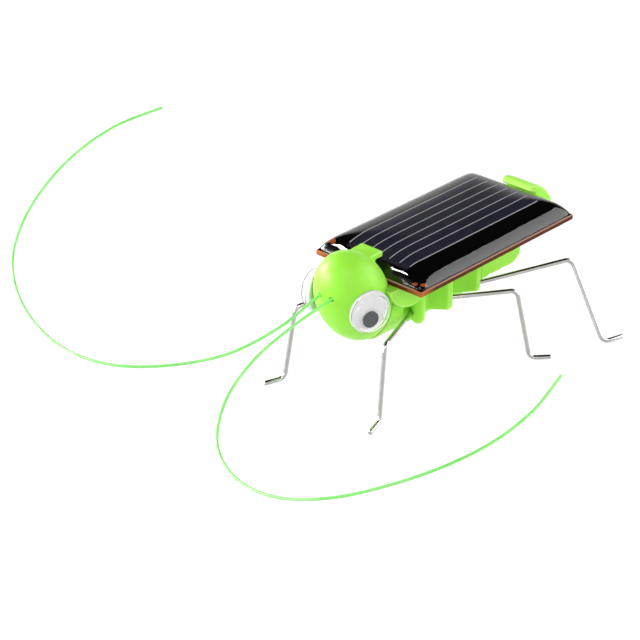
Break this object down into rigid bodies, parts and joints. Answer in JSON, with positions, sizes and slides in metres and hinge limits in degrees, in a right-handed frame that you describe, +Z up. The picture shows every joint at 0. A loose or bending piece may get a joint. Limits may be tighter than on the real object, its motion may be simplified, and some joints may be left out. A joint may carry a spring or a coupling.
{
  "type": "solar robot kit",
  "caption": "Grasshopper-shaped solar toy: green moulded body under a resin-domed solar panel, with googly eyes, bent wire legs, nylon whiskers and a hidden vibration motor.",
  "frame": {"origin": "on the floor, on the toy's middle plane, midway between its foremost and rearmost toes", "axes": "+Z up from the floor, -Y the way the head looks, +X the toy's left side"},
  "size_m": [0.111, 0.0928, 0.0266],
  "materials": {
    "lime_plastic": "satin moulded plastic, slightly translucent lime green",
    "circuit_board": "bare brown phenolic circuit board, sawn edges",
    "copper": "bare copper foil and enamelled copper winding",
    "silicon_cell": "blue-black amorphous silicon under resin",
    "silver_line": "printed silver conductor",
    "clear_resin": "clear cast epoxy, high gloss",
    "eye_white": "white plastic backing",
    "eye_clear": "clear vacuum-formed cap",
    "pupil_black": "loose dark disc",
    "green_nylon": "green nylon monofilament",
    "leg_wire": "bright drawn steel wire",
    "motor_steel": "plated steel",
    "brass": "brass and spring bronze",
    "magnet": "nickel-plated sintered magnet",
    "white_plastic": "moulded end cap",
    "tungsten": "sintered tungsten alloy",
    "black_foam": "adhesive foam",
    "red_wire": "PVC insulation",
    "black_wire": "PVC insulation",
    "solder": "tin-lead solder"
  },
  "bodies": {
    "toy": {"body_tray": "lime_plastic", "head_shell": "lime_plastic", "solar_board": "circuit_board", "back_pads": "copper", "cell_strips": "silicon_cell", "cell_busbars": "silver_line", "resin_dome": "clear_resin", "eye_back_left": "eye_white", "eye_dome_left": "eye_clear", "eye_back_right": "eye_white", "eye_dome_right": "eye_clear", "whisker_left": "green_nylon", "whisker_right": "green_nylon", "front_leg_left": "leg_wire", "front_leg_right": "leg_wire", "middle_leg_left": "leg_wire", "middle_leg_right": "leg_wire", "rear_leg_left": "leg_wire", "rear_leg_right": "leg_wire", "motor_can": "motor_steel", "motor_bearing": "brass", "motor_magnet": "magnet", "motor_end_cap": "white_plastic", "motor_brushes": "brass", "motor_terminals": "brass", "foam_pad": "black_foam", "red_lead": "red_wire", "black_lead": "black_wire", "solder_joints": "solder"},
    "rotor": {"motor_shaft": "motor_steel", "motor_coil": "copper", "motor_commutator": "brass", "eccentric_weight": "tungsten"},
    "left_pupil": {"pupil_left": "pupil_black"},
    "right_pupil": {"pupil_right": "pupil_black"}
  },
  "joints": [
    {"name": "motor_spin", "type": "hinge", "parent": "toy", "child": "rotor", "pos_m": [0, -0.0066, 0.0132], "axis": [0, 1, 0], "continuous": true},
    {"name": "left_pupil_swing", "type": "hinge", "parent": "toy", "child": "left_pupil", "pos_m": [0.00563, -0.01965, 0.01698], "axis": [0.9621, -0.2704, -0.0349], "continuous": true},
    {"name": "right_pupil_swing", "type": "hinge", "parent": "toy", "child": "right_pupil", "pos_m": [-0.00563, -0.01965, 0.01698], "axis": [-0.9621, -0.2704, -0.0349], "continuous": true}
  ]
}
